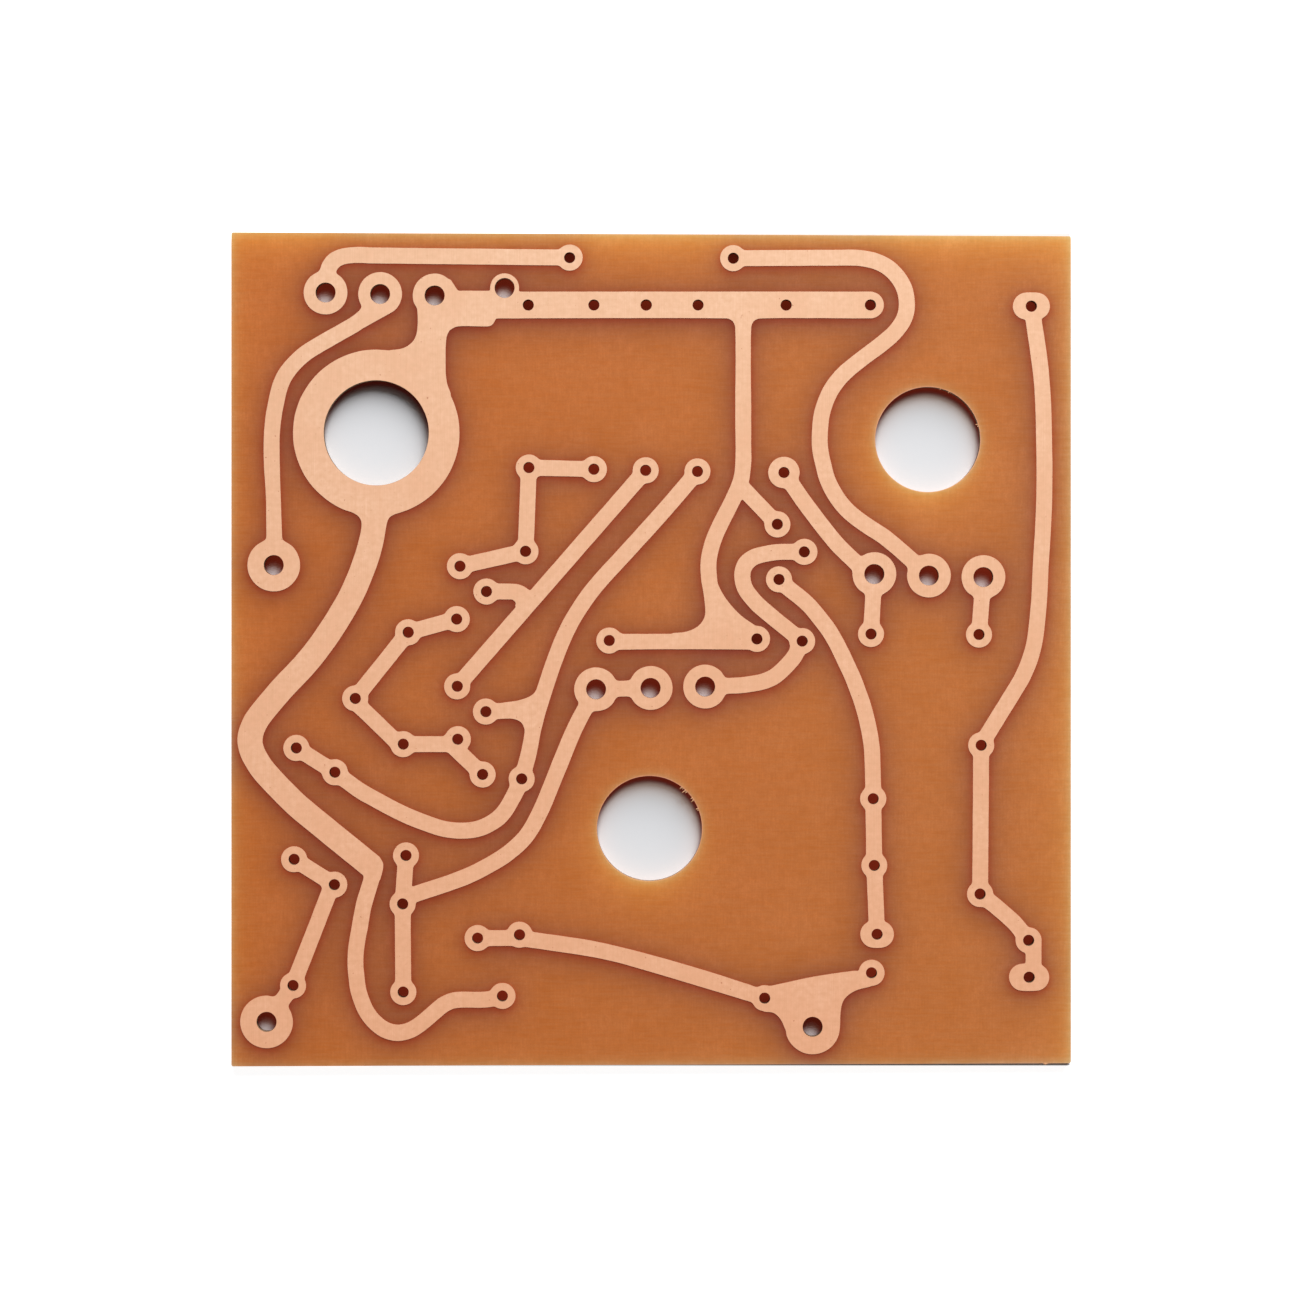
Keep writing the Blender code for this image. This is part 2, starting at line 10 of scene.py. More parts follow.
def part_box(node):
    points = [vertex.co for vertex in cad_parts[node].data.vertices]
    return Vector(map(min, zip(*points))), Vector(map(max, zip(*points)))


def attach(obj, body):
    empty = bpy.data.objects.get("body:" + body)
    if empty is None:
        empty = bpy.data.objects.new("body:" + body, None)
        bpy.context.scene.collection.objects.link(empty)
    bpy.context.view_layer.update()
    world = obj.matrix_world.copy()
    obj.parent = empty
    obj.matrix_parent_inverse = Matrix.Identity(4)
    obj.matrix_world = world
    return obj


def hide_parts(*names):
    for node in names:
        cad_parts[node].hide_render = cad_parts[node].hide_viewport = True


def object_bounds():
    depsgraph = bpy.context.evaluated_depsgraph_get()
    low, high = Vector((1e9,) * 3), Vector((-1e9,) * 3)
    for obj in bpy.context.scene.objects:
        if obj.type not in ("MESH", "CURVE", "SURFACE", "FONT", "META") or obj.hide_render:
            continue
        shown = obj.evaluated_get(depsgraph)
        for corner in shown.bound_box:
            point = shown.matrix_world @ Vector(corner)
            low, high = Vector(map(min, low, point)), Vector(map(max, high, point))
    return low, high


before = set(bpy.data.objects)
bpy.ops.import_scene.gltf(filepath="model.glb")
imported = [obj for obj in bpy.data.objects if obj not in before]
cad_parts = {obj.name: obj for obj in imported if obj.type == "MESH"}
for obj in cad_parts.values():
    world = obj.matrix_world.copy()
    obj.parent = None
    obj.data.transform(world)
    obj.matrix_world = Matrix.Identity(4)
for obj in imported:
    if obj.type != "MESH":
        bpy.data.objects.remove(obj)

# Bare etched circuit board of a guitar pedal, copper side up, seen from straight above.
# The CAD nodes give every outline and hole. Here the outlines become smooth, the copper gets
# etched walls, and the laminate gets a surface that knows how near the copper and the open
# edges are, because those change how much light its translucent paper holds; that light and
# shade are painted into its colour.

cad_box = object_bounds()

MM = 0.001

# The board, from its CAD nodes
LAMINATE = "laminate"
COPPER_NODES = sorted(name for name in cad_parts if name.startswith("copper_"))
FOIL_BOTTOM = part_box(COPPER_NODES[0])[0].z
FOIL_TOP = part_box(COPPER_NODES[0])[1].z

# Points of a CAD mesh this near each other are one, and this near its top height are on top
SAME_POINT = 1e-7
SAME_HEIGHT = 1e-6

# Outlines: where a drawn line turns by more than this it is a corner, how far apart its points
# are, and how round the etching leaves such a corner
CORNER_TURN = math.radians(38)
OUTLINE_STEP = 0.16 * MM
CORNER_SOFTNESS = 0.10 * MM

# Holes: sides of a drawn hole by its radius in mm, sides of a hole on the maps of light, and
# the radius above which a hole is for a control
HOLE_RADII, HOLE_SIDES = (0.5, 0.9, 4.8), (24, 36, 120)
POT_HOLE_MAP_SIDES, DRILLED_MAP_SIDES = 96, 24
POT_HOLE_LEAST = 4 * MM

# Camera, for a frame of 1294 x 1291 pixels, with its lens and sensor in mm and the end of its
# sight in metres
PIXELS_ACROSS = 1294
PIXELS_PER_MM = 11.02
LENS = 150.0
SENSOR = 36.0
AIM = Vector((-0.38, 0.353)) * MM
FARTHEST_SEEN = 20.0

# How far apart in the noise the patterns of one surface are read
NOISE_APART = (7.3, 3.1, 5.7)


# Small tools

def colour(code):
    """The linear colour of an sRGB hex value, as shaders take it."""
    parts = [int(code[place:place + 2], 16) / 255 for place in (1, 3, 5)]
    return [part / 12.92 if part <= 0.04045 else ((part + 0.055) / 1.055) ** 2.4
            for part in parts] + [1.0]


def add(tree, kind, inputs=None, **settings):
    """Adds a node. Its inputs are plain values, or the sockets that feed them. They go by
    name, or by number where a node has several of one name."""
    made = tree.nodes.new(kind)
    for name, value in settings.items():
        setattr(made, name, value)
    for key, value in (inputs or {}).items():
        if isinstance(value, bpy.types.NodeSocket):
            tree.links.new(value, made.inputs[key])
        else:
            made.inputs[key].default_value = value
    return made


def surface(name, ground, patterns, layers, relief=None, polish=None, **values):
    """A material with one Principled shader. Its patterns are noises with lumps of a size in
    mm, drawn out by a stretch; start and end are the part of the noise that they show. Each
    layer lays a share of a colour over the ground where its pattern is high. Relief is the
    pattern that stands out, how strongly, and by how many mm. Polish is the pattern that
    changes the roughness, from one value to another. The other values are constants of the
    shader's own sockets."""
    material = bpy.data.materials.new(name)
    material.use_nodes = True
    tree = material.node_tree
    shader = tree.nodes["Principled BSDF"]
    for key, value in values.items():
        shader.inputs[key.replace("_", " ")].default_value = value
    place = add(tree, "ShaderNodeTexCoord").outputs["Object"]
    level = {}
    for key, (lump, stretch, detail, start, end) in patterns.items():
        spot = add(tree, "ShaderNodeVectorMath",
                   {0: place, 1: [1 / (lump * MM * part) for part in stretch],
                    2: [part * len(level) for part in NOISE_APART]}, operation="MULTIPLY_ADD")
        noise = add(tree, "ShaderNodeTexNoise",
                    {"Vector": spot.outputs[0], "Scale": 1.0, "Detail": detail})
        level[key] = add(tree, "ShaderNodeMapRange",
                         {0: noise.outputs["Fac"], 1: start, 2: end}).outputs[0]
    shown = colour(ground)
    for key, share, code in layers:
        factor = add(tree, "ShaderNodeMath", {0: level[key], 1: share}, operation="MULTIPLY")
        shown = add(tree, "ShaderNodeMix",
                    {0: factor.outputs[0], 6: shown, 7: colour(code)},
                    data_type="RGBA").outputs[2]
    if layers:
        tree.links.new(shown, shader.inputs["Base Color"])
    else:
        shader.inputs["Base Color"].default_value = shown
    if relief:
        key, strength, depth = relief
        bump = add(tree, "ShaderNodeBump",
                   {"Strength": strength, "Distance": depth * MM, "Height": level[key]})
        tree.links.new(bump.outputs[0], shader.inputs["Normal"])
    if polish:
        key, smoothest, roughest = polish
        rough = add(tree, "ShaderNodeMapRange", {0: level[key], 3: smoothest, 4: roughest})
        tree.links.new(rough.outputs[0], shader.inputs["Roughness"])
    return material, tree, shader, shown


def tinted(tree, shown, tint, amount):
    """A colour multiplied by a tint to the power of an amount, so 0 leaves it as it is."""
    part = add(tree, "ShaderNodeVectorMath", {0: tint, 1: amount}, operation="POWER")
    return add(tree, "ShaderNodeVectorMath", {0: shown, 1: part.outputs[0]},
               operation="MULTIPLY").outputs[0]


def seen(tree):
    """1 for a ray that shows the camera something, also by way of metal or glass."""
    path = add(tree, "ShaderNodeLightPath").outputs
    either = add(tree, "ShaderNodeMath", {0: path["Is Camera Ray"], 1: path["Is Glossy Ray"]},
                 operation="MAXIMUM")
    return add(tree, "ShaderNodeMath",
               {0: either.outputs[0], 1: path["Is Transmission Ray"]},
               operation="MAXIMUM").outputs[0]


def link(name, data, *materials):
    """A new object in the scene, with its mesh, camera or lamp, and its materials."""
    thing = bpy.data.objects.new(name, data)
    bpy.context.scene.collection.objects.link(thing)
    for material in materials:
        data.materials.append(material)
    return thing


# Camera

camera = link("camera", bpy.data.cameras.new("camera"))
camera.data.lens = LENS
camera.data.sensor_width = SENSOR
camera.data.clip_end = FARTHEST_SEEN
frame_width = PIXELS_ACROSS / PIXELS_PER_MM * MM
camera.location = (AIM.x, AIM.y, FOIL_TOP + frame_width * LENS / SENSOR)
bpy.context.scene.camera = camera
bpy.context.scene.view_settings.view_transform = "Standard"


# Outlines of the CAD nodes

def top_loops(node):
    """The closed edges of a node's top face, each with the face on its left."""
    joined = bmesh.new()
    joined.from_mesh(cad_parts[node].data)
    bmesh.ops.remove_doubles(joined, verts=joined.verts, dist=SAME_POINT)
    joined.faces.index_update()
    top = max(vertex.co.z for vertex in joined.verts)
    faces = [face for face in joined.faces
             if all(top - vertex.co.z < SAME_HEIGHT for vertex in face.verts)]
    on_top = {face.index for face in faces}
    follow = {}
    for face in faces:
        for corner in face.loops:
            if not any(other.index in on_top for other in corner.edge.link_faces
                       if other != face):
                follow[corner.vert] = corner.link_loop_next.vert
    loops = []
    while follow:
        first, here = follow.popitem()
        line = [first]
        while here != first:
            line.append(here)
            here = follow.pop(here)
        loops.append(np.array([vertex.co.xy[:] for vertex in line]))
    joined.free()
    return loops


def signed_area(loop):
    """The area inside a closed line, below zero where it runs clockwise, as a hole's does."""
    after = np.roll(loop, -1, 0)
    return float((loop[:, 0] * after[:, 1] - after[:, 0] * loop[:, 1]).sum()) / 2


def hole_of(loop):
    """Centre and radius of the drill that left a round hole."""
    after = np.roll(loop, -1, 0)
    cross = loop[:, 0] * after[:, 1] - after[:, 0] * loop[:, 1]
    centre = ((loop + after) * cross[:, None]).sum(0) / (3 * cross.sum())
    return centre, float(np.hypot(*(loop - centre).T).max())


def resampled(loop, step):
    """The same closed line with its points one step apart, and never fewer than 8."""
    lengths = np.hypot(*(np.roll(loop, -1, 0) - loop).T)
    along = np.concatenate([[0.0], np.cumsum(lengths)])
    count = max(8, int(round(along[-1] / step)))
    closed = np.vstack([loop, loop[:1]])
    places = np.arange(count) * along[-1] / count
    return np.stack([np.interp(places, along, closed[:, axis]) for axis in (0, 1)], 1)


def smoothed(loop):
    """The drawn line that a faceted outline stands for: smooth curves between its corners,
    and corners as soft as the etching leaves them."""
    before, after = loop - np.roll(loop, 1, 0), np.roll(loop, -1, 0) - loop
    length_before, length_after = np.hypot(*before.T), np.hypot(*after.T)
    unit_before, unit_after = before / length_before[:, None], after / length_after[:, None]
    turn = np.arccos(np.clip((unit_before * unit_after).sum(1), -1.0, 1.0))
    through = before + after
    through /= np.hypot(*through.T)[:, None]
    corner = (turn > CORNER_TURN)[:, None]
    arriving = np.where(corner, unit_before, through)
    leaving = np.where(corner, unit_after, through)
    points = []
    for index, start in enumerate(loop):
        end_index = (index + 1) % len(loop)
        reach = length_after[index]
        t = (np.arange(0.0, 1.0, min(1.0, OUTLINE_STEP / reach)))[:, None]
        points.append((2 * t ** 3 - 3 * t ** 2 + 1) * start
                      + (t ** 3 - 2 * t ** 2 + t) * leaving[index] * reach
                      + (3 * t ** 2 - 2 * t ** 3) * loop[end_index]
                      + (t ** 3 - t ** 2) * arriving[end_index] * reach)
    line = resampled(np.vstack(points), OUTLINE_STEP)
    spread = CORNER_SOFTNESS / OUTLINE_STEP
    reach = int(3 * spread) + 1
    weights = np.exp(-0.5 * (np.arange(-reach, reach + 1) / spread) ** 2)
    return sum(weight * np.roll(line, shift, 0)
               for weight, shift in zip(weights / weights.sum(), range(-reach, reach + 1)))


def circle(centre, radius, sides):
    """A round outline, clockwise as a hole's is."""
    angles = -np.arange(sides) * 2 * math.pi / sides
    return centre + radius * np.stack([np.cos(angles), np.sin(angles)], 1)


def drawn_hole(centre, radius):
    """A round outline with as many sides as a hole of this radius needs to look round."""
    return circle(centre, radius, int(round(np.interp(radius / MM, HOLE_RADII, HOLE_SIDES))))


copper_outlines, copper_holes = {}, {}
for name in COPPER_NODES:
    loops = top_loops(name)
    copper_outlines[name] = [smoothed(loop) for loop in loops if signed_area(loop) > 0]
    copper_holes[name] = [hole_of(loop) for loop in loops if signed_area(loop) < 0]

laminate_loops = top_loops(LAMINATE)
board_outline = next(loop for loop in laminate_loops if signed_area(loop) > 0)
drilled = [hole_of(loop) for loop in laminate_loops if signed_area(loop) < 0]
pot_holes = sorted((hole for hole in drilled if hole[1] > POT_HOLE_LEAST),
                   key=lambda hole: hole[0][0])


# Light held by the translucent laminate, painted into its colour

# It is worked out on a fine grid over the board. The light comes from a window, and goes this
# way across the board.
WINDOW = Vector((0.183, 0.793, 0.581))
LIGHT_WAY = -WINDOW.xy.normalized()
CELL = 0.1 * MM
MARGIN = 6 * MM

# The painted shade of the copper and a redder painted shade line beside its etched edge, both
# leaning the light's way, and at open edges painted light: a glow, most of it on the side that
# the light goes to, and a pale fringe
SHADE_REACH = 0.9 * MM
SHADE_LEAN = 0.3 * MM
ETCH_SHADE_WIDTH = 0.35 * MM
ETCH_SHADE_LEAN = 0.2 * MM
GLOW_REACH = 1.4 * MM
GLOW_ALL_ROUND = 0.1
FRINGE_REACH = 0.3 * MM

# Guards: what a distance of zero counts as, and how many cells inside the map's far ends a
# point is kept, so that it always lies between four cells
NOT_ZERO = 1e-9
KEPT_INSIDE = 1.001

low = np.array(cad_box[0].xy) - MARGIN
grid_shape = [int(math.ceil((high + MARGIN - start) / CELL))
              for high, start in zip(cad_box[1].xy, low)]


def filled(loops):
    """A map of the grid's cells, 1 inside the outlines and 0 outside them."""
    flips = np.zeros((grid_shape[0] + 1, grid_shape[1]))
    for loop in loops:
        spots = (loop - low) / CELL - 0.5
        for (x0, y0), (x1, y1) in zip(spots, np.roll(spots, -1, 0)):
            first, last = math.ceil(min(y0, y1)), math.ceil(max(y0, y1))
            for row in range(first, last):
                crossing = x0 + (row - y0) * (x1 - x0) / (y1 - y0)
                flips[math.ceil(crossing), row] += 1
    return np.cumsum(flips, 0)[:-1] % 2


def fading(reach):
    """A kernel that fades with distance, the same all round."""
    return lambda distance, ahead: np.exp(-distance / reach)


def spread_out(cells, kernel):
    """The map blurred by a kernel: a function of the distance from a cell, and of how
    straight along the light's way the place lies from it, from 1 for straight on to -1."""
    x, y = (np.fft.fftfreq(grid_shape[axis]) * grid_shape[axis] for axis in (0, 1))
    reach = np.hypot(x[:, None], y[None, :])
    ahead = x[:, None] * LIGHT_WAY[0] + y[None, :] * LIGHT_WAY[1]
    weights = kernel(reach * CELL, ahead / np.maximum(reach, NOT_ZERO))
    product = np.fft.rfft2(cells) * np.fft.rfft2(weights / weights.sum())
    return np.fft.irfft2(product, s=grid_shape)


def moved(cells, distance):
    """The map moved along the light's way."""
    return np.roll(cells, [int(round(part * distance / CELL)) for part in LIGHT_WAY], (0, 1))


def sampled(cells, points):
    """The map's value at each point, between its four nearest cells."""
    spots = np.clip((points - low) / CELL - 0.5, 0, np.array(grid_shape) - KEPT_INSIDE)
    whole = spots.astype(int)
    part = spots - whole
    corners = [cells[whole[:, 0] + a, whole[:, 1] + b] for a in (0, 1) for b in (0, 1)]
    left = corners[0] * (1 - part[:, 1]) + corners[1] * part[:, 1]
    right = corners[2] * (1 - part[:, 1]) + corners[3] * part[:, 1]
    return left * (1 - part[:, 0]) + right * part[:, 0]


covered = filled([loop for loops in copper_outlines.values() for loop in loops])
opened = 1 - filled([board_outline]) + filled(
    [circle(*hole, POT_HOLE_MAP_SIDES) for hole in pot_holes])
covered = covered * (1 - opened)
shade_map = moved(spread_out(covered, fading(SHADE_REACH)), SHADE_LEAN)
etch_painted_shade_map = moved(spread_out(covered, lambda r, ahead: np.exp(-0.5 * (r / ETCH_SHADE_WIDTH) ** 2)),
                 ETCH_SHADE_LEAN)
glow_map = spread_out(opened, lambda r, ahead: np.exp(-r / GLOW_REACH)
                      * (np.maximum(ahead, 0.0) + GLOW_ALL_ROUND))
pale_edge_light_map = spread_out(opened, fading(FRINGE_REACH))


# Materials

ROUND = (1, 1, 1)

# What each painted light or shade, the worn lip, and the change across the board, paler
# towards the right, multiply the laminate's colour by where they are full
PAINTED_LIGHT_AND_WEAR_TINTS = {"light_kept_out": (0.285, 0.275, 0.87), "beside_etched_edge": (0.95, 0.40, 0.31),
               "light_let_in": (1.52, 1.92, 1.52), "pale_fringe": (1.0, 2.4, 7.0),
               "worn_lip": (1.3, 1.2, 1.7), "across_board": (1.04, 1.2, 1.4)}

# Phenolic paper laminate: sheets of kraft paper soaked in brown phenolic resin and pressed
# hot. To the eye it is a warm amber, slightly cloudy, with faint crossing fibre lines. Over
# that its colour is painted with shade, redder where copper keeps the light out, and with
# light, yellower where an open edge lets it in. The real fibres are a few hundredths of a mm
# wide, and are drawn 0.16 mm wide so that they show.
laminate_material, tree, shader, shown = surface(
    "phenolic_paper_laminate_pressed", "#c46a2d",
    {"cloud": (4.0, ROUND, 4.0, 0.3, 0.7), "flecks": (0.6, ROUND, 3.0, 0.35, 0.65),
     "fibres across": (0.16, (12, 1, 1), 2.0, 0.3, 0.7),
     "fibres along": (0.16, (1, 12, 1), 2.0, 0.3, 0.7),
     "grain": (0.16, ROUND, 2.0, 0.3, 0.7), "skin": (0.12, ROUND, 4.0, 0.2, 0.8)},
    [("cloud", 1.0, "#d0753b"), ("flecks", 0.45, "#b66026"), ("fibres across", 0.4, "#c97c48"),
     ("fibres along", 0.3, "#b45f27"), ("grain", 0.35, "#b26231")],
    relief=("skin", 0.3, 0.01), polish=("fibres along", 0.42, 0.58),
    Roughness=0.5, Metallic=0.0, IOR=1.55, Specular_IOR_Level=0.1)
# Lays the painted light and shade, the worn lip and the change across the board over the colour
for name, tint in PAINTED_LIGHT_AND_WEAR_TINTS.items():
    amount = add(tree, "ShaderNodeAttribute", attribute_name=name).outputs["Fac"]
    shown = tinted(tree, shown, tint, amount)
tree.links.new(shown, shader.inputs["Base Color"])

# The same laminate where it is sheared: the paper plies show as thin level lines, duller and
# drier than the pressed face.
PLIES = {"plies": (0.16, (14, 14, 1), 1.0, 0.3, 0.7)}
sheared_material = surface(
    "phenolic_paper_laminate_sheared", "#9c5a2c", PLIES, [("plies", 1.0, "#c98f55")],
    relief=("plies", 0.4, 0.02),
    Roughness=0.75, Metallic=0.0, IOR=1.5, Specular_IOR_Level=0.2)[0]

# And where it is drilled: walls burnished by the drill to a darker and greyer brown, still
# with plies.
drilled_material = surface(
    "phenolic_paper_laminate_drilled", "#755c46", PLIES, [("plies", 1.0, "#8f765c")],
    relief=("plies", 0.4, 0.02),
    Roughness=0.6, Metallic=0.0, IOR=1.5, Specular_IOR_Level=0.2)[0]

# Painted shade on the copper: its colour turns darker and redder from the top edge, nearest
# the window, to the bottom
COPPER_PAINTED_SHADE = (1.08, 0.91, 0.83)

# Bare copper foil, scrubbed bright after etching: a soft pinkish metal with fine straight
# scratches down the board, a little uneven in tone, with a few specks of oxide. Real scrub
# scratches are some hundredths of a mm wide, and are drawn 0.1 mm wide so that they show.
copper_material, tree, shader, shown = surface(
    "bare_copper_foil_scrubbed", "#cdaa90",
    {"tone": (4.0, ROUND, 3.0, 0.3, 0.7), "mottle": (0.5, ROUND, 4.0, 0.3, 0.7),
     "scratches": (0.10, (1, 40, 1), 4.0, 0.3, 0.7),
     "cross scratches": (0.12, (25, 1.5, 1), 3.0, 0.45, 0.8),
     "specks": (0.3, ROUND, 2.0, 0.73, 0.77)},
    [("tone", 0.8, "#c69c7f"), ("mottle", 0.9, "#c09b7e"), ("scratches", 0.35, "#b48f72"),
     ("cross scratches", 0.2, "#ba9276"), ("specks", 0.6, "#8a5238")],
    relief=("scratches", 0.08, 0.01), polish=("scratches", 0.50, 0.56),
    Roughness=0.53, Metallic=1.0)
# The painted shade, darker and redder down the board
place = add(tree, "ShaderNodeTexCoord").outputs["Object"]
height = add(tree, "ShaderNodeSeparateXYZ", {0: place}).outputs["Y"]
down = add(tree, "ShaderNodeMapRange", {0: height, 1: cad_box[1].y, 2: cad_box[0].y})
tree.links.new(tinted(tree, shown, COPPER_PAINTED_SHADE, down.outputs[0]),
               shader.inputs["Base Color"])


# Node trees

def new_tree(name, inputs, output):
    """A node tree that takes the named inputs, each of its kind, and gives a geometry."""
    tree = bpy.data.node_groups.new(name, "GeometryNodeTree")
    for label, kind in inputs.items():
        tree.interface.new_socket(label, in_out="INPUT", socket_type="NodeSocket" + kind)
    tree.interface.new_socket(output, in_out="OUTPUT", socket_type="NodeSocketGeometry")
    return tree, add(tree, "NodeGroupInput").outputs


def grown(thing, tree, **values):
    """Runs a node tree on an object and keeps the result as its plain mesh."""
    modifier = thing.modifiers.new("Growth", "NODES")
    modifier.node_group = tree
    for item in tree.interface.items_tree:
        key = item.name.lower().replace(" ", "_")
        if item.in_out == "INPUT" and key in values:
            modifier[item.identifier] = values[key]
    depsgraph = bpy.context.evaluated_depsgraph_get()
    mesh = bpy.data.meshes.new_from_object(thing.evaluated_get(depsgraph))
    thing.modifiers.remove(modifier)
    thing.data = mesh


# Copper islands

# Etching eats sideways too: the foil is narrower at its top by this much all round, and its
# edges waver by up to half of the waviness either way. Its points nearer than the weld are one.
UNDERCUT = 0.012 * MM
WAVINESS = 0.04 * MM
WAVE_LENGTH = 1.6 * MM
WELD = 0.001 * MM
NOISE_MIDDLE = 0.5
LEVEL_PART = (1, 1, 0)


def foil_tree():
    """Fills an outline and its holes, and raises it to a foil with etched walls."""
    tree, given = new_tree("Etched foil", {
        "Outline": "Geometry", "Base height": "Float", "Foil thickness": "Float",
        "Undercut": "Float", "Waviness": "Float", "Wave length": "Float",
        "Material": "Material"}, "Foil")
    line = add(tree, "GeometryNodeMeshToCurve", {"Mesh": given["Outline"]})
    under = add(tree, "GeometryNodeFillCurve", {"Curve": line.outputs[0]}, mode="TRIANGLES")
    rise = add(tree, "ShaderNodeCombineXYZ", {"Z": given["Foil thickness"]})
    raised = add(tree, "GeometryNodeExtrudeMesh",
                 {"Mesh": under.outputs[0], "Offset": rise.outputs[0], "Offset Scale": 1.0,
                  "Individual": False}, mode="FACES")
    floor = add(tree, "GeometryNodeFlipFaces", {"Mesh": under.outputs[0]})
    both = add(tree, "GeometryNodeJoinGeometry", {"Geometry": raised.outputs["Mesh"]})
    tree.links.new(floor.outputs[0], both.inputs[0])
    whole = add(tree, "GeometryNodeMergeByDistance",
                {"Geometry": both.outputs[0], "Distance": WELD})
    spot = add(tree, "GeometryNodeInputPosition").outputs[0]
    facing = add(tree, "GeometryNodeInputNormal").outputs[0]
    level = add(tree, "ShaderNodeVectorMath", {0: facing, 1: LEVEL_PART},
                operation="MULTIPLY")
    outward = add(tree, "ShaderNodeVectorMath", {0: level.outputs[0]}, operation="NORMALIZE")
    flat_spot = add(tree, "ShaderNodeVectorMath", {0: spot, 1: LEVEL_PART},
                    operation="MULTIPLY")
    rate = add(tree, "ShaderNodeMath", {0: 1.0, 1: given["Wave length"]}, operation="DIVIDE")
    noise = add(tree, "ShaderNodeTexNoise",
                {"Vector": flat_spot.outputs[0], "Scale": rate.outputs[0], "Detail": 1.0})
    swing = add(tree, "ShaderNodeMath", {0: noise.outputs["Fac"], 1: NOISE_MIDDLE},
                operation="SUBTRACT")
    amount = add(tree, "ShaderNodeMath", {0: swing.outputs[0], 1: given["Waviness"]},
                 operation="MULTIPLY")
    height = add(tree, "ShaderNodeSeparateXYZ", {0: spot}).outputs["Z"]
    share = add(tree, "ShaderNodeMath", {0: height, 1: given["Foil thickness"]},
                operation="DIVIDE")
    taken = add(tree, "ShaderNodeMath", {0: share.outputs[0], 1: given["Undercut"]},
                operation="MULTIPLY")
    out = add(tree, "ShaderNodeMath", {0: amount.outputs[0], 1: taken.outputs[0]},
              operation="SUBTRACT")
    shift = add(tree, "ShaderNodeVectorMath", {0: outward.outputs[0], "Scale": out.outputs[0]},
                operation="SCALE")
    lift = add(tree, "ShaderNodeCombineXYZ", {"Z": given["Base height"]})
    move = add(tree, "ShaderNodeVectorMath", {0: shift.outputs[0], 1: lift.outputs[0]})
    etched = add(tree, "GeometryNodeSetPosition",
                 {"Geometry": whole.outputs[0], "Offset": move.outputs[0]})
    real = add(tree, "GeometryNodeRealizeInstances", {"Geometry": etched.outputs[0]})
    painted = add(tree, "GeometryNodeSetMaterial",
                  {"Geometry": real.outputs[0], "Material": given["Material"]})
    add(tree, "NodeGroupOutput", {"Foil": painted.outputs[0]})
    return tree


def closed_edges(first, count):
    """The edges of a closed line of points, the first of which has this number."""
    return [(first + place, first + (place + 1) % count) for place in range(count)]


def wire_mesh(name, loops):
    """Closed outlines as a flat mesh of edges."""
    points, edges = [], []
    for loop in loops:
        edges += closed_edges(len(points), len(loop))
        points += [(x, y, 0.0) for x, y in loop]
    mesh = bpy.data.meshes.new(name)
    mesh.from_pydata(points, edges, [])
    return mesh


etched_foil = foil_tree()
for name in COPPER_NODES:
    holes = [drawn_hole(*hole) for hole in copper_holes[name]]
    island = link(name.replace("copper_", "etched_"),
                  wire_mesh(name, copper_outlines[name] + holes))
    grown(island, etched_foil, base_height=FOIL_BOTTOM, foil_thickness=FOIL_TOP - FOIL_BOTTOM,
          undercut=UNDERCUT, waviness=WAVINESS, wave_length=WAVE_LENGTH,
          material=copper_material)
    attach(island, "root")
    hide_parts(name)


# Laminate

def beside(loop, offset, step):
    """Points along an outline, moved out of it by the offset."""
    line = resampled(loop, step)
    along = np.roll(line, -1, 0) - np.roll(line, 1, 0)
    along /= np.hypot(*along.T)[:, None]
    return line + offset * np.stack([along[:, 1], -along[:, 0]], 1)


def split_up(loop, step):
    """The same closed line with its long sides cut into steps and its corners kept."""
    points = []
    for start, end in zip(loop, np.roll(loop, -1, 0)):
        count = max(1, int(round(np.hypot(*(end - start)) / step)))
        points.append(start + (end - start) * (np.arange(count) / count)[:, None])
    return np.vstack(points)


def thinned(points, spacing):
    """The points, with no two of them in one cell of this size."""
    _, kept = np.unique(np.round(points / spacing), axis=0, return_index=True)
    return points[np.sort(kept)]


def clear_of(points, others, distance):
    """The points that keep this distance from all the others."""
    tree = kdtree.KDTree(len(others))
    for index, (x, y) in enumerate(others):
        tree.insert((x, y, 0.0), index)
    tree.balance()
    return np.array([point for point in points
                     if tree.find((point[0], point[1], 0.0))[2] > distance])


def off_holes(points, distance):
    """The points that are outside every hole and keep this distance from it."""
    for centre, radius in drilled:
        points = points[np.hypot(*(points - centre).T) > radius + distance]
    return points


def inside(points, loop):
    """Which points are inside a closed line."""
    x, y = points[:, 0][:, None], points[:, 1][:, None]
    x0, y0 = loop[:, 0], loop[:, 1]
    x1, y1 = np.roll(x0, -1), np.roll(y0, -1)
    with np.errstate(divide="ignore", invalid="ignore"):
        crossed = ((y0 > y) != (y1 > y)) & (x < x0 + (y - y0) * (x1 - x0) / (y1 - y0))
    return crossed.sum(1) % 2 == 1


# Points of the top face, close enough for the painted light on it to be smooth. Beside the
# copper outlines they lie in rings, each with its offset and step in mm, thinned to a share of
# that.
RINGS = ((-0.10, 0.30), (0.04, 0.22), (0.14, 0.24), (0.28, 0.30), (0.50, 0.40),
         (0.85, 0.55), (1.35, 0.70), (2.10, 0.80))
RING_THINNING = 0.6
NEAR_SPACING = 0.1 * MM
NEAR_CLEARANCE = 0.12 * MM
NEAR_HOLE_CLEARANCE = 0.08 * MM

# Inside the board's edge and round the control holes, one ring ends the worn lip, and more lie
# at these offsets in mm.
RIM_STEP = 0.3 * MM
LIP_WIDTH = 0.12 * MM
LIP_STEP = 0.25 * MM
RIM_RINGS = (-0.35, -0.7, -1.2, -1.9)
RIM_RING_STEP = 0.5 * MM

